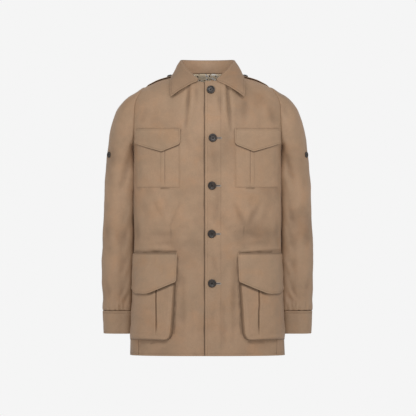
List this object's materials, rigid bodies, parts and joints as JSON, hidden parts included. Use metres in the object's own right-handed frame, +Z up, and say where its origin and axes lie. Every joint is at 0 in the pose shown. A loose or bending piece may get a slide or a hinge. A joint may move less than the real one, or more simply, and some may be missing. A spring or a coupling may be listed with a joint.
{
  "type": "waxed safari jacket",
  "caption": "Long-sleeved waxed cotton safari jacket in its worn, hollow shape, with turn-down collar, epaulettes, flapped chest pockets and bellows pockets below.",
  "frame": {"origin": "middle of the neck at its base, level with the front neck edge, where the wearer's shoulders hold the jacket", "axes": "+Z up towards the collar, -Y out of the chest, +X to the wearer's left"},
  "size_m": [0.5964, 0.2574, 0.8273],
  "materials": {
    "waxed_canvas": "fine plain-weave cotton with a soft dry wax",
    "waxed_canvas_trim": "the same waxed cotton, on flaps, cuffs and epaulettes",
    "lining_print": "printed cotton, small cream and brown motifs on a khaki ground",
    "horn_button": "polished dark horn look"
  },
  "bodies": {
    "root": {"back": "waxed_canvas", "front_left": "waxed_canvas", "front_right": "waxed_canvas", "sleeve_left": "waxed_canvas", "sleeve_right": "waxed_canvas", "cuff_left": "waxed_canvas_trim", "cuff_right": "waxed_canvas_trim", "collar_stand": "waxed_canvas", "collar_fall": "waxed_canvas", "neck_lining": "lining_print", "epaulette_left": "waxed_canvas_trim", "epaulette_right": "waxed_canvas_trim", "chest_pocket_left": "waxed_canvas", "chest_pocket_right": "waxed_canvas", "chest_flap_left": "waxed_canvas_trim", "chest_flap_right": "waxed_canvas_trim", "lower_pocket_left": "waxed_canvas", "lower_pocket_right": "waxed_canvas", "lower_flap_left": "waxed_canvas_trim", "lower_flap_right": "waxed_canvas_trim", "button_front_1": "horn_button", "button_front_2": "horn_button", "button_front_3": "horn_button", "button_front_4": "horn_button", "button_front_5": "horn_button", "button_epaulette_left": "horn_button", "button_epaulette_right": "horn_button", "button_sleeve_left": "horn_button", "button_sleeve_right": "horn_button"}
  },
  "joints": []
}
